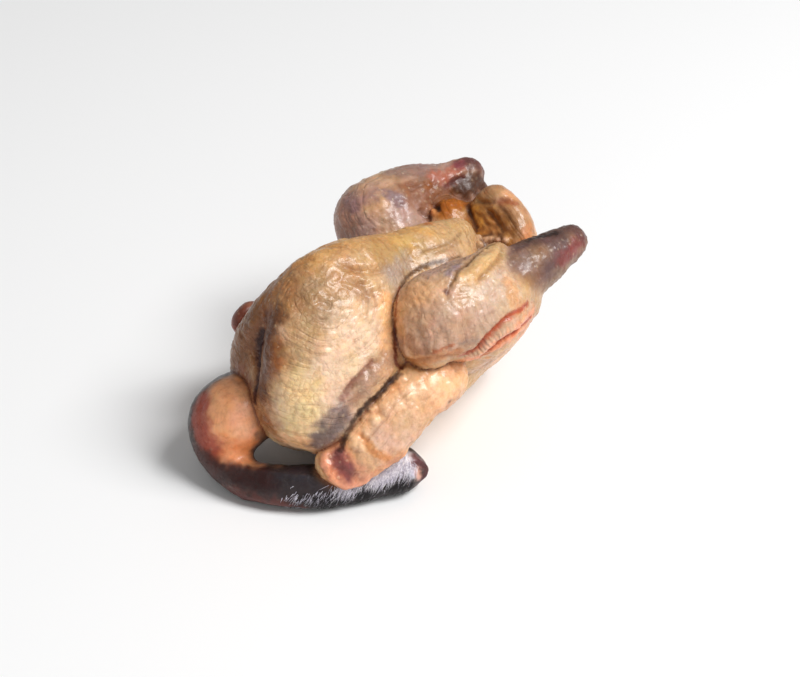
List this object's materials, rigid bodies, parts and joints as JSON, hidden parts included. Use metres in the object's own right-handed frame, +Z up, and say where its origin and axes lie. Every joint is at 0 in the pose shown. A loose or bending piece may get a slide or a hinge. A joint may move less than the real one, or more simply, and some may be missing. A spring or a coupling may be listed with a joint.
{
  "type": "whole raw guinea fowl",
  "caption": "Plucked raw guinea fowl lying on its back: breast and keel up, legs cut at the hocks, folded wings, neck curled round with its head under a wing.",
  "frame": {"origin": "middle of the outline seen from above, on the table", "axes": "+Z up, +X from the breast's front towards the tail, +Y towards the bird's left side"},
  "size_m": [0.2162, 0.1454, 0.1195],
  "materials": {
    "skin": "moist plucked skin with follicle bumps, tan breast, grey-mauve legs, peach wings, dark neck"
  },
  "bodies": {
    "root": {"guinea_fowl": "skin"}
  },
  "joints": []
}
